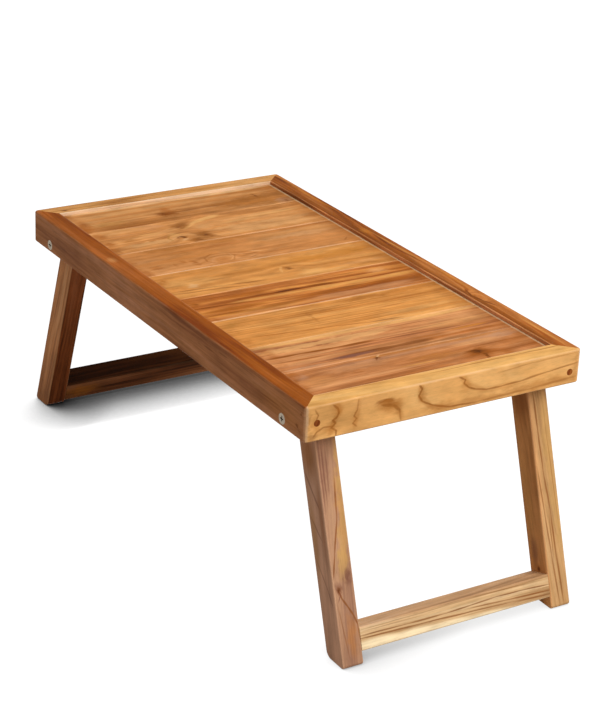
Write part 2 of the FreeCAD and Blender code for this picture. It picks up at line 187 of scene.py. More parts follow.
# %% [markdown]
# ## The studio
#
# The desk stands on a white sweep under soft light: one large lamp high on the side of the near end, and
# the even light of pale walls. A white page needs no bright lamp. The floor shows the camera a white of
# its own, and only turns grey close to the feet and stretchers, where the desk keeps light away. That
# shade is deepest at the far end, which has its back to the lamp. An even rim of shade round each foot
# would look like a smudge, so the shade leans to one side.

# %% The floor
FLOOR_SIDE = 8.0
FLOOR_BOUNCE = 0.5          # share of light that the floor throws back on the desk
FLOOR_LIT = 0.15            # how much of its lamplight the floor shows to the camera
FLOOR_WHITE = 1.0           # the floor's own white
CONTACT_REACH = 0.062       # how far from the feet their shade on the floor is felt
SHADE_RAYS = 16
SHADE_DEPTH = 1.7           # how deep that shade is under the middle of the desk
SHADE_FALL = (4.6, 3.0, 0.0)  # and how much of it is lost, per metre towards the lamp
SHADE_LEAST = 0.2           # what is left of it at the foot under the lamp
SHADE_LEAN = (-0.55, -0.5, 0.67)  # the side from which a foot keeps light off the floor
WHITE = (1.0, 1.0, 1.0, 1.0)

floor_mesh = bpy.data.meshes.new("floor")
sweep = bmesh.new()
bmesh.ops.create_grid(sweep, x_segments=1, y_segments=1, size=FLOOR_SIDE / 2)
sweep.to_mesh(floor_mesh)
sweep.free()
floor = bpy.data.objects.new("floor", floor_mesh)
bpy.context.scene.collection.objects.link(floor)


def grey(level):
    return (level, level, level, 1.0)


def mirrored(path):
    """1 where a mirror or a glass looks at the surface."""
    return path.math("MAXIMUM", path.sibling("Is Glossy Ray"), path.sibling("Is Transmission Ray"))


paper_material, paper = new_material("white_floor")
path = paper.add("ShaderNodeLightPath", {}, {}, out="Is Camera Ray")
bounced = paper.add("ShaderNodeBsdfDiffuse", {}, {"Color": grey(FLOOR_BOUNCE)})
plain = paper.add("ShaderNodeEmission", {}, {"Color": WHITE, "Strength": 1.0})
contact = paper.add("ShaderNodeAmbientOcclusion", {"samples": SHADE_RAYS}, {
    "Distance": CONTACT_REACH, "Normal": paper.join(*SHADE_LEAN)}, out="AO")
place = paper.add("ShaderNodeTexCoord", {}, {}, out="Object")
lost = paper.add("ShaderNodeVectorMath", {"operation": "DOT_PRODUCT"}, {
    0: place, 1: SHADE_FALL}, out="Value")
depth = SHADE_DEPTH - lost
shade = contact ** depth.math("MAXIMUM", depth, SHADE_LEAST)
shown = paper.add("ShaderNodeBsdfDiffuse", {}, {"Color": grey(FLOOR_LIT)})
glow = paper.add("ShaderNodeEmission", {}, {"Color": grey(FLOOR_WHITE)})
dark = paper.add("ShaderNodeBsdfDiffuse", {}, {"Color": grey(0.0)})
lit = paper.add("ShaderNodeMixShader", {}, {
    0: shade, 1: dark, 2: paper.add("ShaderNodeAddShader", {}, {0: shown, 1: glow})})
reflected = paper.add("ShaderNodeMixShader", {}, {0: mirrored(path), 1: bounced, 2: plain})
paper.add("ShaderNodeOutputMaterial", {}, {
    "Surface": paper.add("ShaderNodeMixShader", {}, {0: path, 1: reflected, 2: lit})})
floor_mesh.materials.append(paper_material)
print("floor", FLOOR_SIDE, "m wide, with shade up to", CONTACT_REACH, "m from the feet")

# %% Walls and lamp
WALL_LIGHT = 0.36
LAMP_PLACE = Vector((1.45, 0.65, 2.1))
LAMP_AIM = Vector((0.0, 0.0, 0.2))
LAMP_WIDTH = 2.2
LAMP_POWER = 62.0

world = bpy.data.worlds.new("studio_walls")
bpy.context.scene.world = world
world.use_nodes = True
walls = Finish(world.node_tree)
path = walls.add("ShaderNodeLightPath", {}, {}, out="Is Camera Ray")
white = walls.add("ShaderNodeBackground", {}, {"Strength": 1.0, "Color": WHITE})
pale = walls.add("ShaderNodeBackground", {}, {"Strength": WALL_LIGHT, "Color": WHITE})
seen = path.math("MAXIMUM", path, mirrored(path))
walls.add("ShaderNodeOutputWorld", {}, {
    "Surface": walls.add("ShaderNodeMixShader", {}, {0: seen, 1: pale, 2: white})})

light = bpy.data.lights.new("side_lamp", "AREA")
light.size = LAMP_WIDTH
light.energy = LAMP_POWER
lamp = bpy.data.objects.new("side_lamp", light)
lamp.location = LAMP_PLACE
lamp.rotation_euler = (LAMP_AIM - LAMP_PLACE).to_track_quat("-Z", "Y").to_euler()
bpy.context.scene.collection.objects.link(lamp)
print("walls at", WALL_LIGHT, "and a lamp of", LAMP_POWER, "W")

# %% [markdown]
# ## A plank of teak
#
# Wood grain isn't a picture on the surface: a tree adds a layer each year round its pith, and a plank is
# a box cut out of those layers. So the finish measures, at every point of the plank, how far it lies from
# the pith. Colour bands and dark late-wood lines follow that one distance, on every face, and the end
# grain comes out right by itself. A branch pushes the layers aside, which the finish adds as a small hill
# in the distance: that bends the lines round a knot and closes them into ovals.
#
# First comes the place in the plank: millimetres along the grain, across the face and through it.

# %% Place in the plank
MILLIMETRE = 0.001
Place = namedtuple("Place", "point along across through")


def grain_frame(along, across):
    """How the plank is turned: its grain, its face and its depth as three directions."""
    along, across = Vector(along).normalized(), Vector(across).normalized()
    return Matrix((along, across, along.cross(across))).transposed().to_euler()


def place_in_plank(finish, plank):
    settings = {"vector_type": "TEXTURE"}
    sockets = {
        "Vector": finish.add("ShaderNodeTexCoord", {}, {}, out="Object"),
        "Location": plank["middle"],
        "Rotation": grain_frame(plank["along"], plank["across"]),
        "Scale": (MILLIMETRE,) * 3,
    }
    point = finish.add("ShaderNodeMapping", settings, sockets)
    along = finish.add("ShaderNodeSeparateXYZ", {}, {0: point})
    return Place(point, along, along.sibling("Y"), along.sibling("Z"))


print("a plank is measured in", MILLIMETRE, "m")

# %% [markdown]
# Nothing in wood is ruled, so noise is part of every step. Each plank has the same few noises, stretched
# along its grain by different lengths. One table holds them all, which keeps their sizes easy to compare.
# A plank's seed moves it to a fresh place in each noise, so that no two planks are alike.
#
# The layers wander a little off their circle, and ripple. A knot's hill is a mark like those that colour
# the plank further down: a soft oval, with its full share at its heart and nothing at its rim.

# %% Noises, marks and distance from the pith
NOISES = {                  # a number of its own, lengths along, across and through the plank, and detail
    "sway": (0, (150, 60, 60), 1.0),
    "ripple": (1, (34, 9, 9), 2.0),
    "fibre": (2, (26, 0.6, 0.6), 2.0),
    "vessel": (3, (8, 0.42, 0.42), 1.0),
    "cloud": (4, (25, 10, 10), 3.0),
    "ragged": (6, (11, 5, 5), 3.0),
    "streak": (7, (60, 2.2, 2.2), 2.0),
    "end_blotch": (8, (18, 24, 24), 4.0),
    "fray": (9, (40, 4, 4), 2.0),
}
SWAY = 6.0                  # how far the layers wander, in millimetres
MARK_DEPTH = 4.0            # how deep a mark on a plank's narrow side goes


def plank_noise(finish, plank, place, name):
    """One of the plank's noises: from 0 to 1, and 0.5 on average."""
    number, lengths, detail = NOISES[name]
    return finish.noise(finish.stretch(place.point, lengths, plank["seed"] + number), detail)


def mark_mask(finish, ground, mark, heart, share):
    """The share at the heart of an oval mark, fading to nothing at its rim."""
    along, across, length, width, turn = mark
    sockets = {
        "Vector": ground,
        "Location": (along, across, 0),
        "Rotation": (0, 0, turn),
        "Scale": (length, width, MARK_DEPTH),
    }
    inside = finish.add("ShaderNodeMapping", {"vector_type": "TEXTURE"}, sockets)
    far = finish.add("ShaderNodeVectorMath", {"operation": "LENGTH"}, {0: inside}, out="Value")
    sockets = {"Value": far, "From Min": heart, "From Max": 1.0, "To Min": share, "To Max": 0.0}
    return finish.add("ShaderNodeMapRange", {"interpolation_type": "SMOOTHSTEP"}, sockets)


def pith_distance(finish, plank, place, ground, wobble):
    pith_across, pith_through = plank["pith"]
    sideways = place.across - (place.along * plank.get("lean", 0.0) + pith_across)
    deep = place.through - pith_through
    distance = (sideways * sideways + deep * deep) ** 0.5 - math.hypot(pith_across, pith_through)
    distance = distance + place.along * plank.get("rise", 0.0)
    distance = distance + (plank_noise(finish, plank, place, "sway") - 0.5) * SWAY + wobble
    for along_at, across_at, length, width, height in plank.get("hills", ()):
        hill = (along_at, across_at, length, width, 0)
        distance = distance + mark_mask(finish, ground, hill, 0.0, height)
    return distance


print(len(NOISES), "noises in each plank")

# %% [markdown]
# Next come the colours. Broad bands and fine bands of noise run along the rings, and a thin dark line
# ends each ring.

# %% Bands and rings
BROAD_BAND = (11, 260)      # a broad band's width and length, in millimetres
FINE_BAND = (2.1, 110)
BROAD_SWING = 2.6           # how far the broad bands swing from pale wood to dark
FINE_SWING = 2.0
RING_WIDTH = 3.4
RING_DRIFT = 0.31           # how quickly the rings' width changes from ring to ring
RING_UNEVEN = 1.6           # and by how many rings they get out of step
RING_DEPTH = 0.35
LATE_WOOD = 5               # the higher, the thinner the dark line at the end of a ring
FAINTEST_RING = 0.2


def band_noise(finish, distance, along, band, seed, detail):
    width, length = band
    return finish.noise(finish.join(distance * (1 / width), along * (1 / length), seed), detail)


def band_colour(finish, plank, distance, along):
    broad = band_noise(finish, distance, along, BROAD_BAND, plank["seed"], 1.0)
    fine = band_noise(finish, distance, along, FINE_BAND, plank["seed"] + 5.0, 2.0)
    broad_swing = BROAD_SWING * plank.get("broad", 1.0)
    fine_swing = FINE_SWING * plank.get("fine", 1.0)
    shade = (broad - 0.5) * broad_swing + (fine - 0.5) * fine_swing + 0.5
    stops = [(0.0, tone(plank["pale"])), (0.5, tone(plank["mid"])), (1.0, tone(plank["dark"]))]
    return finish.add("ShaderNodeValToRGB", {"stops": stops}, {0: shade})


def ring_line(finish, plank, distance):
    """The late wood of each ring: a slow darkening that ends in a sharp edge."""
    count = distance * (1 / plank.get("ring", RING_WIDTH))
    drift = finish.noise(finish.join(count * RING_DRIFT, plank["seed"], 0.0), 0.0)
    count = count + drift * RING_UNEVEN
    age = count.math("FRACT", count)
    year = count.math("FLOOR", count)
    strength = finish.add("ShaderNodeTexWhiteNoise", {"noise_dimensions": "1D"}, {"W": year})
    return age ** LATE_WOOD * (strength * (1 - FAINTEST_RING) + FAINTEST_RING), age


def wood_colour(finish, plank, distance, along, line):
    """The bare wood of a face: its bands, with a dark line at the end of each ring."""
    bands = band_colour(finish, plank, distance, along)
    return finish.mix(line * plank.get("ring_depth", RING_DEPTH), bands, tone(plank["dark"]))


print("rings", RING_WIDTH, "mm wide, unless a plank says otherwise")

# %% [markdown]
# Strokes, patches and knots are then laid over the rings one by one, because on the real desk they are
# what tells one board from the next. They are soft ovals in the wood, bent a little by the same ripple as
# the rings, so none of them has a ruled edge. They take their colours from one short list.

# %% Strokes, patches and knots
TONES = {
    "sap": "#FBE2B6", "cream": "#EBC08A", "peach": "#DCA26C", "sand": "#DFA468", "straw": "#E8AE68",
    "honey": "#E3A055", "tan": "#CF9256", "rose": "#C98C5C", "amber": "#C67C2C", "olive": "#A8742E",
    "clay": "#B5702F", "toffee": "#A0622A", "russet": "#A45A1C", "umber": "#8A4A14", "bark": "#8A5024",
    "blush": "#B98C6C", "wheat": "#CFA05E", "plum": "#7E5040", "cocoa": "#68320A", "ink": "#4C2408",
}
STROKE_HEART = 0.35         # share of a stroke that has its full colour
PATCH_HEART = 0.15
KNOT_HEART = 0.0
OVERLAP = 0.72              # half the length of a stroke's oval, as a share of the way to the next point
HALO = 1.7                  # how much larger than a knot the brown round it is
HALO_SHARE = 0.8
RAGGED = 14.0               # how far the noise may push the rim of a patch, in millimetres
RAGGED_FROM = 6.5           # strokes at least this wide have ragged rims as well


def stroke_marks(points, half):
    """The ovals that follow a stroke from point to point."""
    for (along_a, across_a), (along_b, across_b) in zip(points, points[1:]):
        run, drift = along_b - along_a, across_b - across_a
        length = math.hypot(run, drift) * OVERLAP + half
        yield (along_a + along_b) / 2, (across_a + across_b) / 2, length, half, math.atan2(drift, run)


def roughen(finish, plank, place, ground):
    """The ground pushed about by a few millimetres, so that patches and knots get ragged rims."""
    push = plank_noise(finish, plank, place, "ragged").sibling("Color")
    centred = finish.add("ShaderNodeVectorMath", {"operation": "MULTIPLY_ADD"}, {
        0: push, 1: (RAGGED, RAGGED, 0), 2: (-RAGGED / 2, -RAGGED / 2, 0)})
    return finish.add("ShaderNodeVectorMath", {"operation": "ADD"}, {0: ground, 1: centred})


def lay_marks(finish, colour, ground, ragged, marks):
    def lay(rim, mark, heart, share, name):
        return finish.mix(mark_mask(finish, rim, mark, heart, share), colour, tone(TONES[name]))

    for half, share, name, *points in marks.get("strokes", ()):
        rim = ragged if half >= RAGGED_FROM else ground
        for mark in stroke_marks(points, half):
            colour = lay(rim, mark, STROKE_HEART, share, name)
    for along, across, length, width, share, name in marks.get("patches", ()):
        colour = lay(ragged, (along, across, length, width, 0), PATCH_HEART, share, name)
    for along, across, length, width, share in marks.get("knots", ()):
        halo = (along, across, length * HALO, width * HALO, 0)
        colour = lay(ragged, halo, KNOT_HEART, share * HALO_SHARE, "umber")
        colour = lay(ragged, (along, across, length, width, 0), KNOT_HEART, share, "ink")
    return colour


print(len(TONES), "tones named")

# %% [markdown]
# Long edges are paler: partly where hands have rubbed the oil away, partly a painted highlight where the
# rounded edges catch the lamp. The boards are browner towards their front ends, and darker at their back
# ends, which is painted shade where the back rail keeps the lamp off the deck. Dust has settled in a fine
# line along the back rail.

# %% Worn edges and soiled ends
WORN_AND_LIT_EDGE = "#E4B68A"          # a pale edge: partly worn by hands, partly a painted highlight
DUST = "#EBCDA4"
WEAR_AND_HIGHLIGHT = (0.35, 0.35)         # how pale a plank's two edges are, unless it says otherwise
WORN_AND_LIT_FROM = 0.9             # an edge is palest up to here, in millimetres
WORN_AND_LIT_WIDTH = 2.2            # and then fades over this width
# A board is browner towards its front end, and darker at its back end: painted shade, where the back rail
# keeps the lamp off the deck.
FRONT_BROWN_SHARE = 0.6
FRONT_BROWN_SPREAD = 60            # how far a blotchy noise pushes the rim of the browner front end of a board
FRONT_BROWN_RIM = (28, 42)         # where the browner front end begins to fade, and where it ends
BACK_SHADE_SHARE = 0.5
BACK_SHADE_SPREAD = 24           # the same for the painted shade at the back end
BACK_SHADE_RIM = (-14, 14)
DUST_SHARE = 0.5
DUST_SPREAD = 0.6
DUST_RIM = (-2.5, -0.5)


def edge_reach(plank, place):
    """How far the plank's nearest edge is, in millimetres."""
    half_across, half_through = plank["half"]
    aside, down = half_across - abs(place.across), half_through - abs(place.through)
    aside, down = aside.math("MAXIMUM", aside, 0.0), down.math("MAXIMUM", down, 0.0)
    reach = (aside * aside + down * down) ** 0.5
    return reach.math("MINIMUM", reach, plank["tip"] - abs(place.along)) if "tip" in plank else reach


# Pale edges: partly real wear, partly a painted highlight where the rounded edges catch the lamp.
def wear_edges(finish, plank, place, colour, fray):
    worn_and_lit_to = WORN_AND_LIT_FROM + plank.get("worn_width", WORN_AND_LIT_WIDTH)
    worn = 1 - finish.step(edge_reach(plank, place) + fray, WORN_AND_LIT_FROM, worn_and_lit_to)
    low_side, high_side = plank.get("wear", WEAR_AND_HIGHLIGHT)
    worn = worn * (finish.step(place.across, -1.0, 1.0) * (high_side - low_side) + low_side)
    return finish.mix(worn, colour, tone(WORN_AND_LIT_EDGE))


# Browner front ends, painted shade at the back ends, and a line of dust along the back rail.
def darken_ends_and_dust(finish, plank, place, colour, fray):
    front, back = plank["ends"]
    end_blotch = plank_noise(finish, plank, place, "end_blotch")
    front_brown = 1 - finish.step(place.along + end_blotch * FRONT_BROWN_SPREAD, *(front + rim for rim in FRONT_BROWN_RIM))
    colour = finish.mix(front_brown * FRONT_BROWN_SHARE, colour, tone(TONES["russet"]))
    # painted shade along the back rail
    back_shade = finish.step(place.along + end_blotch * BACK_SHADE_SPREAD, *(back + rim for rim in BACK_SHADE_RIM))
    colour = finish.mix(back_shade * BACK_SHADE_SHARE, colour, tone(TONES["umber"]))
    dusty = finish.step(place.along + fray * DUST_SPREAD, *(back + rim for rim in DUST_RIM))
    return finish.mix(dusty * DUST_SHARE, colour, tone(DUST))


print("edges fade over", WORN_AND_LIT_WIDTH, "mm")

# %% [markdown]
# Last come the fibres and pores, which give the wood its bite close up: thin streaks of light and dark,
# and the short open vessels that teak is full of. They also break the shine and dent the surface. A plank
# with a side has wood of its own there, as the top of a rail differs from its face. On the far end rail
# that side holds a painted highlight, on the front side rail a painted reflection, and on the far
# stretcher a painted shadow.

# %% The finished teak
RIPPLE = 1.6                # how far the rings ripple, in millimetres
SIDE_RIM = (-2.0, -0.6)     # where the wood of a plank's side begins, and where it is full
STREAKS = (0.55, 0.55)      # how much light and dark is in streaks, and how much in clouds
FIBRE_LIGHT = 0.2
PORE_DARK = 0.2
PORE_RIM = (0.61, 0.72)     # how much of the vessel noise is an open pore
PORE_FILLED = 0.6           # late wood fills this share of its pores
FIBRE_HEIGHT = 0.35
PORE_DEPTH = 0.7
RING_GROOVE = 0.25
RELIEF = 0.00022            # the height that all these are shares of, in metres
RELIEF_SHARE = 0.5
SATIN = 0.44                # the roughness of oiled wood, before fibres and pores add theirs
FIBRE_ROUGH = 0.16
PORE_ROUGH = 0.14
OIL_SHEEN = 0.015


def side_wood(finish, plank, place, colour, distance, line, wobble):
    """The colour with the wood of the plank's own side over it, down to its edge."""
    side = plank["side"]
    level = place.across * side["sign"] - plank["half"][0]
    ground = finish.join(place.along, place.through + wobble, level)
    wood = wood_colour(finish, {**plank, **side}, distance, place.along, line)
    wood = lay_marks(finish, wood, ground, ground, side)
    return finish.mix(finish.step(level, *SIDE_RIM), colour, wood)


def teak(name, plank):
    material, finish = new_material(name)
    place = place_in_plank(finish, plank)
    wobble = (plank_noise(finish, plank, place, "ripple") - 0.5) * plank.get("ripple", RIPPLE)
    ground = finish.join(place.along, place.across + wobble + plank.get("zero", 0.0), 0.0)
    distance = pith_distance(finish, plank, place, ground, wobble)
    line, age = ring_line(finish, plank, distance)
    colour = wood_colour(finish, plank, distance, place.along, line)
    colour = lay_marks(finish, colour, ground, roughen(finish, plank, place, ground), plank)
    if "side" in plank:
        colour = side_wood(finish, plank, place, colour, distance, line, wobble)
    fray = plank_noise(finish, plank, place, "fray") * plank.get("worn_width", WORN_AND_LIT_WIDTH)
    colour = wear_edges(finish, plank, place, colour, fray)
    if "ends" in plank:
        colour = darken_ends_and_dust(finish, plank, place, colour, fray)
    fibre = plank_noise(finish, plank, place, "fibre")
    vessel = plank_noise(finish, plank, place, "vessel")
    pore = finish.step(vessel, *PORE_RIM) * (1 - age * PORE_FILLED)
    streak = plank_noise(finish, plank, place, "streak") - 0.5
    cloud = plank_noise(finish, plank, place, "cloud") - 0.5
    streaky, cloudy = plank.get("streaks", STREAKS)
    bright = 1 + (fibre - 0.5) * FIBRE_LIGHT + cloud * cloudy + streak * streaky - pore * PORE_DARK
    height = fibre * FIBRE_HEIGHT - pore * PORE_DEPTH - line * RING_GROOVE
    sockets = {
        "Base Color": finish.add("ShaderNodeHueSaturation", {}, {"Color": colour, "Value": bright}),
        "Roughness": SATIN + fibre * FIBRE_ROUGH + pore * PORE_ROUGH,
        "Specular IOR Level": OIL_SHEEN,
        "Normal": finish.add("ShaderNodeBump", {}, {
            "Height": height, "Strength": RELIEF_SHARE, "Distance": RELIEF}),
    }
    shader = finish.add("ShaderNodeBsdfPrincipled", {}, sockets)
    finish.add("ShaderNodeOutputMaterial", {}, {"Surface": shader})
    return material


def dress(node, material):
    """Give a CAD node its finish, in every material slot that it has."""
    mesh = nodes[node].data
    if not mesh.materials:
        mesh.materials.append(material)
    for number in range(len(mesh.materials)):
        mesh.materials[number] = material


print("teak ready, roughness from", SATIN)

# %% [markdown]
# ## The deck
#
# Eight boards lie across the tray, cut from different trees: tan, amber, red-brown. Each entry below is
# one board. Its colours are pale, middle and dark wood, and its pith says how the board was sawn. Its
# hills, strokes, patches and knots are the marks that can be seen on it, each placed by millimetres from
# the middle of the tray: first along the board, then across it.
#
# A stroke is half its width, the share of its colour, its tone, and the points that it follows. A patch,
# a knot or a hill is its place and half its length and width, and then a patch has its share and tone, a
# knot its share and a hill its height.

# %% The four boards at the far end
far_boards = [
    dict(
        pale="#E4AC6F", mid="#CC894D", dark="#A5642A", pith=(-600, -100), rise=0.01, ring=4.2,
        ring_depth=0.25, broad=0.6, fine=0.4,
        strokes=[
            (5, 0.8, "cream", (-126, -254), (0, -254), (125, -254)),
            (6, 0.6, "toffee", (122, -202), (60, -202), (0, -202), (-110, -201)),
            (5, 0.5, "tan", (-120, -243), (60, -242)), (5, 0.7, "tan", (-36, -226), (-76, -226)),
            (9, 0.7, "toffee", (122, -228), (90, -224), (45, -220)),
            (8, 0.5, "toffee", (118, -208), (70, -210)),
            (2.6, 0.65, "bark", (58, -219), (25, -219), (-20, -218)),
            (3, 0.4, "rose", (95, -200), (55, -201)), (2.4, 0.6, "umber", (-48, -197.5), (-108, -198)),
        ],
        patches=[
            (75, -220, 80, 24, 0.6, "toffee"), (85, -216, 60, 24, 0.4, "clay"),
            (-92, -214, 32, 10, 0.4, "olive"), (116, -204, 14, 12, 0.5, "blush"),
            (0, -216, 30, 12, 0.4, "toffee"), (-119, -219, 11, 26, 0.65, "russet"),
            (-22, -217, 20, 11, 0.95, "umber"), (-18, -229, 8, 12, 0.6, "russet"),
        ],
        knots=[(-25, -217, 5, 3, 0.4), (94, -230, 2.5, 7, 0.5), (117, -203, 2.5, 5, 0.5)],
    ),
    dict(
        pale="#E8AA6B", mid="#D59051", dark="#A86831", pith=(-60, -70), rise=0.02, ring=4.0,
        ring_depth=0.3, broad=0.7, fine=0.5, hills=[(-38, -147, 34, 20, 9), (-24, -168, 50, 30, 8)],
        strokes=[
            (5, 0.8, "straw", (22, -191), (5, -187), (-8, -182)),
            (3, 0.75, "straw", (-8, -182), (-18, -175), (-26, -169)),
            (4, 0.45, "straw", (115, -176), (60, -174)), (3, 0.4, "straw", (60, -170), (20, -168)),
            (6, 0.45, "toffee", (122, -187), (70, -186), (40, -188)),
            (2.2, 0.55, "clay", (62, -157), (44, -155), (20, -158), (0, -156)),
            (10, 0.7, "sand", (112, -140), (60, -142), (20, -144)),
            (8, 0.65, "sand", (112, -153), (60, -153), (0, -154)),
            (6, 0.6, "toffee", (-5, -134), (-27, -155)), (6, 0.5, "toffee", (-12, -190), (-36, -177)),
            (4, 0.45, "rose", (-45, -186), (-60, -193), (-80, -195)),
            (3, 0.45, "straw", (-58, -168), (-80, -169)), (3, 0.4, "rose", (-85, -176), (-108, -176)),
            (3, 0.45, "clay", (-84, -158), (-104, -157)), (7, 0.8, "sand", (-56, -145), (-105, -144)),
            (1.6, 0.5, "olive", (-52, -156), (-57, -149), (-55, -143)),
        ],
        patches=[
            (-46, -156, 11, 8, 0.55, "straw"), (-41, -140, 8, 5, 0.45, "cream"),
            (-6, -166, 16, 9, 0.6, "sand"), (-31, -135, 12, 11, 0.95, "toffee"),
            (-16, -144, 14, 18, 0.95, "toffee"), (-28, -178, 15, 12, 0.95, "toffee"),
            (-15, -143, 7, 8, 0.7, "bark"), (-29, -176, 6, 5, 0.6, "bark"),
            (-58, -186, 22, 9, 0.5, "rose"), (-119, -184, 12, 14, 0.7, "russet"),
            (-119, -158, 11, 10, 0.7, "russet"), (-96, -160, 14, 6, 0.5, "clay"),
        ],
        knots=[
            (-40, -148, 4.5, 4, 0.9), (-47, -146, 2, 3, 0.5), (-29, -133, 4, 3, 0.5),
            (-16, -144, 5, 5, 0.4),
        ],
    ),
    dict(
        pale="#D8965D", mid="#CC874A", dark="#AF672F", pith=(-260, -90), rise=0.02, ring=4.6,
        ring_depth=0.2, broad=0.7, fine=0.3, hills=[(-33, -79, 30, 19, 16), (0, -74, 14, 10, 6)],
        strokes=[
            (3, 0.3, "clay", (122, -123), (60, -123)),
            (8, 0.6, "clay", (20, -122), (-30, -122), (-100, -123)),
            (14, 0.6, "tan", (122, -112), (20, -108)), (9, 0.5, "peach", (110, -105), (40, -105)),
            (1.4, 0.5, "bark", (8, -77), (-3, -76), (-8, -79)), (1.4, 0.45, "bark", (4, -70), (-6, -67)),
            (1.2, 0.45, "cream", (14, -79), (2, -84)),
            (1.4, 0.45, "sand", (-30, -94), (-21, -86), (-20, -76), (-28, -68)),
            (1.3, 0.4, "russet", (-26, -90), (-17, -80), (-24, -68)),
            (1.6, 0.45, "russet", (-38, -92), (-50, -84), (-52, -74), (-46, -67)),
            (1.6, 0.4, "umber", (116, -76), (110, -70)),
        ],
        patches=[
            (-65, -80, 6, 6, 0.65, "russet"), (-64, -71, 5, 5, 0.5, "russet"),
            (-76, -82, 5, 6, 0.45, "russet"), (-86, -79, 5, 6, 0.4, "russet"),
            (-107, -79, 10, 8, 0.5, "russet"), (-60, -100, 60, 22, 0.35, "clay"),
        ],
    ),
    dict(
        pale="#E4A35A", mid="#D6904B", dark="#B16F2E", pith=(-600, -90), rise=-0.01, ring=4.4,
        ring_depth=0.2, broad=0.5, fine=0.3, hills=[(14, -24, 34, 20, 9)],
        strokes=[
            (12, 0.6, "amber", (120, -44), (60, -38), (30, -42)), (5, 0.3, "peach", (118, -10), (70, -9)),
            (4, 0.5, "straw", (70, -4), (40, -2), (15, -4)),
            (2.2, 0.5, "straw", (9, -31), (4, -24), (2, -17)),
            (1.6, 0.4, "umber", (17, -20), (13, -26), (8, -32)),
            (1.8, 0.6, "umber", (-28, -6), (-70, -10), (-120, -14)),
            (1.6, 0.5, "umber", (-40, 0), (-80, -5), (-120, -8)),
            (1.6, 0.3, "straw", (-60, -9), (-100, -12)), (12, 0.4, "straw", (-70, -30), (-122, -32)),
        ],
        patches=[
            (34, -8, 22, 9, 0.6, "straw"), (-97, -22, 9, 8, 0.45, "cream"),
            (100, -38, 20, 10, 0.35, "amber"), (0, -40, 40, 14, 0.25, "amber"),
            (117, -56, 13, 8, 0.45, "clay"),
        ],
        knots=[(13, -24, 5, 4.5, 0.55)],
    ),
]
print(len(far_boards), "boards described")

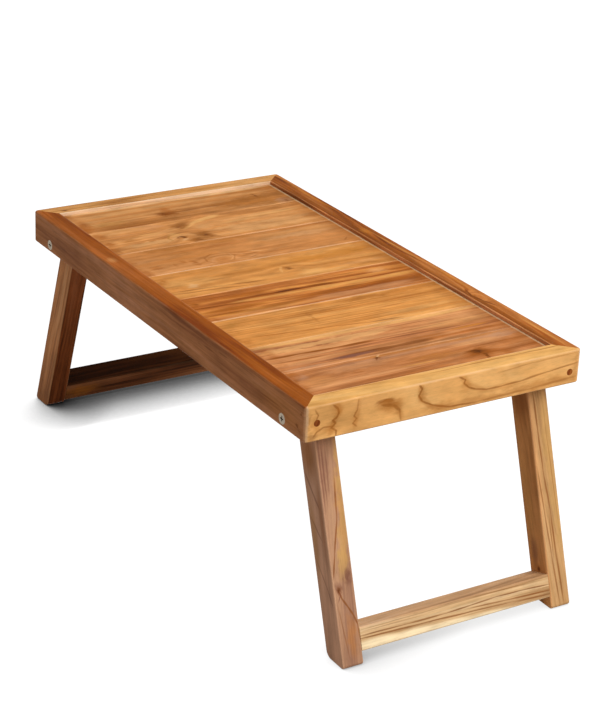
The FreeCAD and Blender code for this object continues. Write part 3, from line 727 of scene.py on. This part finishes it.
# %% The four boards at the near end
near_boards = [
    dict(
        pale="#E2984A", mid="#C47638", dark="#924C19", pith=(-600, -60), rise=-0.03, ring=3.0, broad=1.0,
        fine=0.9,
        strokes=[
            (5.5, 0.85, "honey", (127, 36), (80, 37), (40, 36), (0, 35)),
            (4, 0.7, "honey", (0, 35), (-40, 34), (-80, 33)), (3, 0.95, "umber", (34, 28.5), (0, 28)),
            (3, 0.95, "cocoa", (0, 28), (-36, 28)), (3.4, 0.7, "umber", (-34, 28), (-56, 26)),
            (6, 0.85, "russet", (-40, 20), (-80, 20)), (5, 0.45, "russet", (-80, 20), (-118, 18)),
            (5, 0.9, "russet", (112, 47), (60, 46), (-20, 48)), (6, 0.9, "russet", (-56, 46), (-122, 46)),
            (4, 0.6, "russet", (-80, 54), (-122, 54)), (5, 0.5, "clay", (-6, 61), (-80, 61)),
            (6, 0.65, "rose", (108, 56), (50, 57), (-12, 57)), (5, 0.5, "umber", (-34, 57), (-104, 57)),
            (2.2, 0.5, "bark", (60, 44.5), (10, 45)), (4, 0.6, "umber", (0, 54), (-30, 55), (-62, 54)),
            (4.5, 0.5, "rose", (125, 62), (0, 62)), (4.5, 0.3, "rose", (0, 62), (-125, 62)),
            (2.2, 0.75, "umber", (-58, 38), (-90, 36), (-122, 34)),
            (2, 0.65, "umber", (-82, 54), (-122, 54)), (2, 0.6, "umber", (120, 24), (104, 24)),
            (3, 0.2, "russet", (80, 19), (40, 20)), (1.6, 0.4, "umber", (70, 13), (40, 13)),
        ],
        patches=[
            (92, 18, 16, 9, 0.55, "sand"), (115, 54, 16, 8, 0.5, "bark"), (117, 23, 14, 8, 0.5, "russet"),
        ],
        knots=[(-118, 22, 4, 3.5, 0.7)],
    ),
    dict(
        pale="#E5A35C", mid="#D48E48", dark="#B36F30", pith=(-600, -60), rise=-0.03, ring=2.6, broad=0.5,
        fine=0.9,
        strokes=[
            (7, 0.7, "clay", (125, 74), (60, 75), (20, 75)), (2, 0.6, "bark", (46, 133), (8, 131)),
            (1.8, 0.55, "russet", (8, 131), (-30, 124), (-70, 120), (-104, 116)),
            (2.4, 0.45, "honey", (64, 97), (0, 97)), (2, 0.4, "honey", (110, 110), (40, 109)),
            (6, 0.45, "straw", (108, 120), (30, 121)), (2, 0.4, "honey", (10, 106), (-30, 105)),
            (1.4, 0.45, "russet", (66, 104), (40, 104)), (1.4, 0.4, "russet", (20, 92), (-60, 90)),
            (1.4, 0.35, "russet", (-10, 86), (-70, 85)), (1.4, 0.35, "russet", (-60, 107), (-110, 105)),
            (1.4, 0.35, "russet", (100, 91), (40, 92)), (2.5, 0.7, "straw", (127, 137), (-127, 137)),
        ],
        patches=[(-33, 97, 2.5, 20, 0.3, "umber"), (-112, 82, 12, 8, 0.3, "olive")],
    ),
    dict(
        pale="#DA9A62", mid="#C6804D", dark="#985C36", pith=(-600, -70), rise=-0.02, ring=2.4,
        ring_depth=0.3, fine=0.8,
        strokes=[
            (5.5, 0.8, "straw", (127, 141), (0, 141), (-127, 140)),
            (1.1, 0.4, "umber", (62, 150), (0, 151)), (1.1, 0.4, "umber", (60, 156), (0, 157)),
            (1.1, 0.4, "umber", (70, 163), (0, 164)),
            (2.8, 0.9, "umber", (-10, 170), (-50, 169), (-90, 167), (-124, 166)),
            (1.6, 0.55, "peach", (-50, 174), (-104, 174)), (2, 0.65, "umber", (-72, 180), (-122, 177)),
            (4, 0.65, "russet", (122, 189), (60, 189), (30, 189)),
            (5, 0.9, "bark", (40, 190), (0, 190), (-30, 190)),
            (4.4, 0.85, "plum", (-26, 191), (-64, 191)), (1.6, 0.6, "cocoa", (-10, 188), (-58, 188)),
            (9, 0.85, "sand", (15, 153), (-60, 153), (-122, 153)),
            (5, 0.6, "bark", (108, 197), (40, 197), (-34, 197)),
            (6, 0.45, "bark", (60, 184), (0, 183), (-60, 184)), (9, 0.5, "tan", (120, 166), (50, 165)),
            (3, 0.6, "amber", (110, 179), (70, 180)), (1.6, 0.4, "umber", (120, 172), (40, 172)),
            (1.8, 0.5, "russet", (62, 183), (20, 183)), (3, 0.6, "rose", (-66, 188), (-120, 187)),
            (3, 0.5, "blush", (-80, 196), (-124, 196)),
        ],
        patches=[(-52, 192, 14, 4, 0.6, "plum"), (-116, 156, 12, 20, 0.4, "russet")],
    ),
    dict(
        pale="#D3935F", mid="#C07C49", dark="#915327", pith=(-600, -90), rise=0.02, ring=3.8,
        ring_depth=0.2, broad=0.6, fine=0.5, hills=[(64, 234, 26, 14, 5)],
        strokes=[
            (6, 0.4, "blush", (95, 207), (20, 207), (-80, 208)),
            (5, 0.55, "clay", (100, 202), (30, 202), (-44, 202)),
            (7, 0.4, "russet", (95, 249), (30, 249), (-34, 249)),
            (6, 0.4, "umber", (42, 232), (-22, 232)), (7, 0.5, "blush", (125, 210), (95, 210)),
            (6, 0.45, "peach", (95, 214), (55, 213)), (8, 0.5, "clay", (40, 226), (0, 224)),
            (1.6, 0.5, "umber", (125, 222), (70, 222)),
            (2.4, 0.8, "bark", (66, 236), (65, 245), (63, 252)), (2, 0.5, "bark", (58, 230), (48, 232)),
            (2, 0.5, "honey", (20, 233), (-22, 233)), (1.4, 0.5, "umber", (24, 238), (-20, 238)),
            (1.4, 0.45, "umber", (10, 228), (-25, 228)), (1.6, 0.85, "cocoa", (-29, 203), (-33, 209)),
            (1.4, 0.5, "cream", (-24, 199.5), (-29, 203)), (1.8, 0.5, "umber", (-58, 226), (-70, 225)),
            (9, 0.6, "rose", (-30, 214), (-90, 214)),
        ],
        patches=[
            (80, 245, 9, 7, 0.3, "sand"), (-105, 228, 28, 16, 0.35, "tan"),
            (68, 236, 40, 20, 0.6, "russet"), (86, 246, 10, 9, 0.5, "russet"),
            (63, 234, 17, 13, 0.85, "umber"), (106, 228, 22, 13, 0.45, "russet"),
            (-118, 213, 14, 9, 0.5, "blush"),
        ],
        knots=[(62, 233, 8, 6, 0.85), (65, 244, 3, 7, 0.6), (-31, 206, 4.5, 3.5, 0.6)],
    ),
]
print(len(near_boards), "boards described")

# %% [markdown]
# A board's joints lie where the next board begins, and the outer boards run under the end rails. Each
# joint is a fine gap between two rounded edges, and those edges are palest: partly rubbed, partly a
# painted highlight where they catch the lamp.

# %% Dress the boards
FAR_STREAKS = (0.25, 0.8)   # the far boards have more clouds than streaks
NEAR_STREAKS = (0.4, 0.7)
# Joint edges are pale: partly worn, partly a painted highlight where the eased edges catch the lamp.
JOINT_WEAR_AND_HIGHLIGHT = (0.5, 0.15, 0.6, 0.95, 0.4, 0.95, 0.5, 0.45, 0.2)  # from the far end rail to the near one
JOINT_WIDTH = 2.8
SEED_STEP = 10.0            # keeps the noises of two planks apart

boards = far_boards + near_boards
deck_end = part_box("near_end_rail")[0].x / MILLIMETRE
deck_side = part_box("back_side_rail")[0].y / MILLIMETRE
joints = [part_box(f"deck_board_{number}")[0].x / MILLIMETRE for number in range(2, len(boards) + 1)]
edges = [-deck_end, *joints, deck_end]
for number, board in enumerate(boards, start=1):
    low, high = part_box(f"deck_board_{number}")
    left, right = edges[number - 1:number + 1]
    board["zero"] = (left + right) / 2
    board["middle"] = (board["zero"] * MILLIMETRE, 0.0, (low.z + high.z) / 2)
    board["half"] = ((right - left) / 2, (high.z - low.z) / 2 / MILLIMETRE)
    board.update(along=(0, 1, 0), across=(1, 0, 0), seed=SEED_STEP * number)
    board.update(wear=JOINT_WEAR_AND_HIGHLIGHT[number - 1:number + 1], worn_width=JOINT_WIDTH)
    board["ends"] = (-deck_side, deck_side)
    board["streaks"] = FAR_STREAKS if number <= len(far_boards) else NEAR_STREAKS
    dress(f"deck_board_{number}", teak(f"deck_wood_{number}", board))
print("joints at", [round(joint, 1) for joint in joints], "mm")

# %% [markdown]
# ## The rails
#
# The end rails are golden and the side rails redder and darker, as if from another log. The near end rail
# was sawn close to the pith, so its lines climb steeply over its face and kink. The front side rail's
# outer face is a paler brown than its top, and its greyish dullness is a painted reflection of the pale
# walls.

# %% Colours of the rails
rails = {
    "near_end_rail": dict(
        pale="#F6C27E", mid="#E9AC66", dark="#B98247", along=(0, 1, 0), across=(0, 0, 1), pith=(14, -60),
        rise=-0.13, lean=0.06, ring=6.0, ring_depth=0.08, broad=0.5, fine=0.15, ripple=3.0,
        # its strongly pale edges: pale sanding, with a painted highlight along the arrises over it
        wear=(0.6, 0.85), streaks=(0.15, 0.6),
        strokes=[
            (4, 0.4, "clay", (-119, 15), (-115, 7), (-121, -2), (-124, -12)),
            (4, 0.35, "clay", (-95, 14), (-99, -12)), (4.5, 0.4, "clay", (-72, 7), (-56, 2), (-49, -12)),
            (4.5, 0.4, "clay", (-30, 15), (-30, 3), (-18, -8), (6, -13)),
            (4.5, 0.35, "clay", (14, 15), (22, 5), (42, -4), (80, -4)),
            (1.5, 0.6, "umber", (-122, 14), (-117, 10), (-116, 6), (-118, 2), (-122, 0), (-119, -3),
             (-123, -7), (-118, -11), (-118, -15)),
            (1.4, 0.55, "umber", (-121, -5.5), (-131, -5), (-138, -8), (-141, -12)),
            (1.3, 0.5, "umber", (-140, 13), (-137, 8), (-139, 3)),
            (1.3, 0.5, "umber", (-96, 14), (-97, 5), (-100, 0), (-97, -3), (-101, -7), (-97, -11)),
            (2.2, 0.55, "umber", (-77, 7), (-68, 8.5), (-60, 7)),
            (2.4, 0.6, "umber", (-70, 4), (-58, 1), (-52, -5)),
            (1.6, 0.4, "umber", (-52, -5), (-50, -14)),
            (1.5, 0.65, "umber", (-32, 15), (-29, 11), (-32, 5), (-28, -1), (-16, -7), (2, -12),
             (30, -13.5)),
            (1.8, 0.45, "umber", (30, -13.5), (90, -12.5), (146, -10)),
            (1.4, 0.6, "umber", (11, 16), (18, 11), (17, 8), (22, 3), (30, 0), (42, -3), (60, -3.6),
             (80, -2), (110, 1), (146, 4)),
            (1.2, 0.35, "russet", (58, 11), (90, 13), (146, 15)),
        ],
        patches=[
            (-66, 6, 16, 5, 0.55, "umber"), (40, -11, 90, 5, 0.3, "russet"),
            (-118, 10, 8, 9, 0.35, "clay"), (-122, -6, 12, 9, 0.35, "clay"),
            (-98, -2, 7, 14, 0.25, "clay"), (-56, -2, 14, 9, 0.35, "clay"), (-29, 4, 7, 12, 0.35, "clay"),
            (-10, -9, 26, 6, 0.35, "clay"), (20, 6, 9, 12, 0.3, "clay"), (-62, 3, 21, 9, 0.6, "clay"),
            (-140, -2, 6, 12, 0.4, "clay"), (-130, -10, 14, 6, 0.35, "clay"),
            (110, -10, 60, 8, 0.45, "clay"), (144, 0, 6, 18, 0.35, "umber"),
            (-90, 10, 22, 6, 0.3, "sand"), (-143, -13, 9, 6, 0.5, "bark"), (-147, 2, 3, 16, 0.35, "bark"),
        ],
        side=dict(
            sign=1, pale="#EEBE7C", mid="#E2AA62", dark="#BE8443",
            strokes=[
                (1.2, 0.5, "russet", (-10, -4.5), (30, -4.5)),
                (1.3, 0.6, "umber", (24, -5), (80, -5), (145, -5.5)),
                (1.0, 0.4, "russet", (-130, -8), (-60, -8)),
            ],
        ),
    ),
    "far_end_rail": dict(
        pale="#E2A767", mid="#D39554", dark="#A66830", along=(0, 1, 0), across=(1, 0, 0), pith=(-70, 50),
        rise=0.01,
        knots=[(-120, 5, 5, 3, 0.7)],
        patches=[(40, 0, 50, 8, 0.45, "amber"), (-90, 2, 30, 6, 0.35, "straw")],
        # the cream on the inner lip, which faces the lamp, is a painted highlight
        side=dict(sign=1, pale="#F0D2B0", mid="#EAC7A2", dark="#D0A478"),
    ),
    "front_side_rail": dict(
        # its outer face: paler wood, greyed by a painted reflection of the pale walls
        pale="#CD8D65", mid="#BB7B4F", dark="#925938", along=(1, 0, 0), across=(0, 0, 1), pith=(-60, -70),
        rise=0.01, broad=0.7, fine=0.6, ring_depth=0.2, wear=(0.3, 0.3),
        strokes=[
            (1.4, 0.35, "ink", (98, 6), (114, 6)), (1.4, 0.35, "ink", (125, 10), (140, 10)),
            (1.4, 0.4, "ink", (205, 1), (234, 1)),
        ],
        patches=[(240, 0, 60, 20, 0.35, "clay"), (-200, 0, 90, 20, 0.25, "plum")],
        knots=[(265, -6, 3, 3, 0.5), (268, 8, 2.5, 2.5, 0.5)],
        side=dict(
            sign=1, pale="#AE622B", mid="#9A5117", dark="#7B380E", broad=0.9, fine=0.7,
            patches=[(-110, 2, 10, 7, 0.5, "tan")],
        ),
    ),
    "back_side_rail": dict(
        pale="#C27B3F", mid="#A55B23", dark="#743910", along=(1, 0, 0), across=(0, 1, 0), pith=(-40, -60),
        rise=0.02, hills=[(130, -4, 26, 12, 8)], wear=(0.05, 0.35),
        strokes=[
            # the dark band along the inner edge: partly a dark line in the wood, partly painted shade of
            # the lip
            (2, 0.6, "cocoa", (-270, -7.5), (0, -7.5), (270, -7.5)),
            (5, 0.75, "umber", (-260, -6), (-90, -5), (70, -7), (260, -6)),
            (2.5, 0.5, "amber", (-240, 4), (-150, 5)), (2, 0.45, "honey", (-60, 3), (20, 4)),
            (2.5, 0.5, "amber", (40, 5), (110, 3)), (2, 0.5, "honey", (190, 4), (260, 2)),
            (1.4, 0.8, "cocoa", (108, -2), (125, -6), (140, -3), (155, 1)),
            (1.4, 0.7, "cocoa", (-60, 1), (-20, -1), (20, 2)),
        ],
        patches=[(-75, 0, 14, 8, 0.5, "amber"), (130, -5, 9, 5, 0.5, "umber")],
        side=dict(
            sign=-1, pale="#E79D68", mid="#D58950", dark="#9C5C32",
            # dark patches along the lip: painted shade
            patches=[
                (-200, 15, 70, 6, 0.7, "cocoa"), (-60, 15, 50, 6, 0.4, "cocoa"),
                (110, 15, 60, 6, 0.5, "cocoa"), (220, 15, 40, 6, 0.3, "peach"),
            ],
        ),
    ),
}
print(len(rails), "rails described")

# %% Dress the rails
TIP_ROUND = 1.0             # how far the rounded corner of the tray lies inside its sharp corner
RAIL_SEED = 110.0

for number, (node, rail) in enumerate(rails.items()):
    low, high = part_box(node)
    size = (high - low) / 2 / MILLIMETRE
    across = Vector(rail["across"])
    through = Vector(rail["along"]).cross(across)
    rail.update(middle=(low + high) / 2, half=(abs(size.dot(across)), abs(size.dot(through))))
    rail["tip"] = abs(size.dot(Vector(rail["along"]))) - TIP_ROUND
    rail["seed"] = RAIL_SEED + SEED_STEP * number
    dress(node, teak(node + "_wood", rail))
print(len(rails), "rails dressed")

# %% [markdown]
# ## The leg frames
#
# Each leg is a straight stick whose grain runs from the pivot to the foot, so its plank is turned by the
# splay of the legs. The stretchers lie across, flush with the legs' faces. The near stretcher was cut at
# the outside of the log: its lower edge is pale sapwood.

# %% Place the legs and stretchers
SPLAY = math.radians(18.6)
LEG_MIDDLE = 0.114          # from the pivot down to the middle of a leg, in metres
LEG_HALF = (11, 13.5)       # half its width and half its depth, in millimetres
STRETCHER_MIDDLE = 0.2085
STRETCHER_HALF = (11.1, 13.2)

pivots = {hinge["child"]: Vector(hinge["pos_m"]) for hinge in frame["joints"]}
sticks = {}
for end, outward in (("near", 1), ("far", -1)):
    pivot = pivots[f"{end}_leg_frame"]
    down = Vector((outward * math.sin(SPLAY), 0, -math.cos(SPLAY)))
    for leg in (f"{end}_front_leg", f"{end}_back_leg"):
        low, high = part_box(leg)
        middle = pivot + down * LEG_MIDDLE + Vector((0, (low.y + high.y) / 2, 0))
        sticks[leg] = dict(middle=middle, along=down, across=(0, 1, 0), half=LEG_HALF)
    middle = pivot + down * STRETCHER_MIDDLE
    sticks[f"{end}_stretcher"] = dict(middle=middle, along=(0, 1, 0), across=-down, half=STRETCHER_HALF)
print(len(sticks), "sticks placed")

# %% Colours of the legs and stretchers
woods = {
    "near_front_leg": dict(
        pale="#CA9C76", mid="#B58667", dark="#835A4A", pith=(-60, -40), rise=0.05, broad=0.4, fine=0.4,
        streaks=(0.2, 0.5),
        strokes=[
            (7, 0.6, "wheat", (-90, 11), (-54, 10), (-18, 8)),
            (8, 0.6, "wheat", (-18, 8), (14, 4), (30, 2)), (1.1, 0.6, "plum", (-86, -8), (-30, -8.6)),
            (1.1, 0.6, "plum", (-86, -5.4), (-34, -6)), (1.0, 0.5, "plum", (-80, -2), (-40, -3)),
            (1.3, 0.8, "bark", (-54, 4), (-18, 1.4), (14, -5), (34, -9.4)),
            (1.3, 0.8, "bark", (45, -6), (54, -3), (63, 2), (71, 6), (80, 9.5), (96, 10.5)),
            (1.0, 0.6, "plum", (44, -8), (50, -4), (56, -7)), (1.0, 0.45, "bark", (60, -8), (108, -3)),
        ],
        patches=[
            (35, 6, 9, 5, 0.75, "plum"), (-60, -6, 34, 6, 0.3, "plum"), (44, -5, 8, 6, 0.55, "plum"),
            (90, 3, 30, 8, 0.4, "amber"), (-20, 6, 60, 5, 0.35, "tan"),
        ],
        knots=[(46, -5, 3, 2.5, 0.6)],
        side=dict(
            sign=-1, pale="#E0B190", mid="#D09C7B", dark="#A2775E", broad=0.4, fine=0.4,
            strokes=[
                (2, 0.5, "plum", (-60, -10), (-44, -2), (-30, 6)),
                (1.6, 0.45, "plum", (-20, -10), (0, 4)), (1.4, 0.4, "plum", (20, -9), (44, 3), (60, 9)),
            ],
            patches=[
                (-78, 0, 32, 20, 0.7, "toffee"), (-20, 8, 60, 6, 0.5, "bark"),
                (0, -8, 50, 8, 0.4, "olive"),
            ],
        ),
    ),
    "near_back_leg": dict(
        pale="#DBAF7D", mid="#CA9A66", dark="#90663E", pith=(-80, -40), rise=-0.06, broad=0.35, fine=0.4,
        streaks=(0.2, 0.5),
        strokes=[
            (5, 0.5, "peach", (-90, -9), (-30, -9), (20, -10)),
            (7, 0.5, "wheat", (-90, 6), (0, 6), (60, 9)),
            (1.3, 0.75, "bark", (-88, -5), (-54, -4), (-14, -3), (26, 0), (66, 1), (112, 4)),
            (1.3, 0.65, "bark", (-14, -9), (26, -7), (66, -4), (112, -1)),
            (1.1, 0.5, "bark", (26, -2), (70, -2)), (1.0, 0.4, "umber", (-60, 5), (40, 8)),
        ],
        side=dict(
            sign=-1, pale="#E8AA6B", mid="#D59459", dark="#9D673B", broad=0.4, fine=0.25,
            patches=[
                (62, -3, 20, 8, 0.55, "plum"), (-84, 0, 34, 18, 0.6, "bark"),
                (-10, 9, 60, 5, 0.4, "bark"), (10, -4, 50, 9, 0.25, "olive"),
            ],
            knots=[(80, 0, 4, 3, 0.7)],
        ),
    ),
    "far_front_leg": dict(
        pale="#B1683E", mid="#9B552C", dark="#68361C", pith=(-60, -40), rise=0.02,
        side=dict(sign=-1, pale="#E2A26E", mid="#D58F5C", dark="#A86C43"),
    ),
    "far_back_leg": dict(pale="#985E2C", mid="#864C20", dark="#5A2E10", pith=(60, -40), rise=0.02),
    "near_stretcher": dict(
        pale="#EAC799", mid="#DBB17F", dark="#A0744A", pith=(-300, -80), rise=0.03, ring=2.6, fine=0.7,
        streaks=(0.3, 0.5), ripple=0.9,
        strokes=[
            (6.4, 0.95, "sap", (-106, -6), (-66, -7.5)), (6, 0.95, "sap", (-66, -7.5), (-26, -9)),
            (5.5, 0.95, "sap", (-26, -9), (15, -10.5)), (5, 0.9, "sap", (15, -10.5), (64, -12.5)),
            (4, 0.85, "sap", (64, -12.5), (106, -13)),
            (1.1, 0.75, "bark", (-106, 3), (-56, 2), (-12, 1.5), (14, 2.5), (44, 3.5), (74, 3),
             (106, 1.5)),
            (1.1, 0.75, "bark", (-106, 0.6), (-36, -1.6), (14, -3.4)),
            (1.1, 0.7, "bark", (14, 0), (54, -2), (106, -4)),
            (1.0, 0.65, "bark", (14, -3.4), (64, -5.5), (106, -8)),
            (0.8, 0.4, "umber", (-106, 8.5), (0, 8.5), (106, 9)),
            (0.8, 0.4, "umber", (-106, 6.5), (-40, 6)),
        ],
        side=dict(sign=1, pale="#DBB48C", mid="#CCA074", dark="#A67C55"),
    ),
    "far_stretcher": dict(
        pale="#AC7048", mid="#875231", dark="#502E1D", pith=(60, -30), rise=0.01, wear=(0.1, 0.1),
        # its top is near black: painted shadow, where the tray keeps the light off it
        side=dict(sign=1, pale="#5C3418", mid="#432310", dark="#2C1608"),
        patches=[(-88, 0, 34, 10, 0.9, "clay")],
    ),
}
print(len(woods), "sticks described")

# %% Dress the legs and stretchers
STICK_SEED = 210.0

for number, (node, wood) in enumerate(woods.items()):
    sticks[node].update(wood, seed=STICK_SEED + SEED_STEP * number)
    dress(node, teak(node + "_wood", sticks[node]))
print(len(woods), "legs and stretchers dressed")

# %% [markdown]
# ## Plugs, screws and washers
#
# The corner screws hide under plugs of darker wood. The pivot screws are plated steel: bright on the
# head, and dark, dull brown in the cross-shaped recess. That recess is found by its depth below the head.
# The washers between the legs and the rails are pale nylon.

# %% Plugs
PLUG_HEIGHT = 0.226
PLUG_SEED = 310.0
NO_EDGE = (400, 400)        # a plank so wide that none of its edges lies in a plug

plug = dict(
    pale="#B56E35", mid="#A75D29", dark="#783A19", middle=(0, 0, PLUG_HEIGHT), along=(0, 0.3, 1),
    across=(0, 1, -0.3), half=NO_EDGE, pith=(-30, 40), seed=PLUG_SEED)
dress("corner_plugs", teak("plug_wood", plug))
print("plugs dressed")

# %% Screws
RECESS_RIM = (0.0003, 0.0012)  # the depth at which the recess begins to dull, and is dullest, in metres
RECESS_BROWN = 0.85
RECESS_DULL = 0.6
RECESS_ROUGH = 0.3
PLATING_ROUGH = 0.35
CLOUD_ROUGH = 0.2
STEEL_CLOUD = (0.002,) * 3
CLOUD_DETAIL = 3.0

head_face = max(abs(corner.y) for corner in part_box("near_pivot_screws"))
steel_material, steel = new_material("screw_steel")
spot = steel.add("ShaderNodeTexCoord", {}, {}, out="Object")
across = steel.add("ShaderNodeSeparateXYZ", {}, {0: spot}, out="Y")
sunk = steel.step(head_face - abs(across), *RECESS_RIM)
cloud = steel.noise(steel.stretch(spot, STEEL_CLOUD, 1.0), CLOUD_DETAIL)
shine = steel.mix(cloud, tone("#7C6C58"), tone("#BFB29E"))
sockets = {
    "Base Color": steel.mix(sunk * RECESS_BROWN, shine, tone("#4A3828")),
    "Metallic": 1.0 - sunk * RECESS_DULL,
    "Roughness": PLATING_ROUGH + cloud * CLOUD_ROUGH + sunk * RECESS_ROUGH,
}
steel.add("ShaderNodeOutputMaterial", {}, {
    "Surface": steel.add("ShaderNodeBsdfPrincipled", {}, sockets)})
for node in ("corner_screws", "near_pivot_screws", "far_pivot_screws"):
    dress(node, steel_material)
print("screw heads", round(head_face, 4), "m from the middle")

# %% Washers
NYLON_ROUGH = 0.35
NYLON_CLOUD = (0.003,) * 3

nylon_material, nylon = new_material("washer_nylon")
spot = nylon.add("ShaderNodeTexCoord", {}, {}, out="Object")
cloud = nylon.noise(nylon.stretch(spot, NYLON_CLOUD, 2.0), CLOUD_DETAIL)
sockets = {
    "Base Color": nylon.mix(cloud, tone("#B9B2A4"), tone("#DDD8CC")),
    "Roughness": NYLON_ROUGH + cloud * CLOUD_ROUGH,
}
nylon.add("ShaderNodeOutputMaterial", {}, {
    "Surface": nylon.add("ShaderNodeBsdfPrincipled", {}, sockets)})
for node in ("near_pivot_washers", "far_pivot_washers"):
    dress(node, nylon_material)
print("washers dressed")
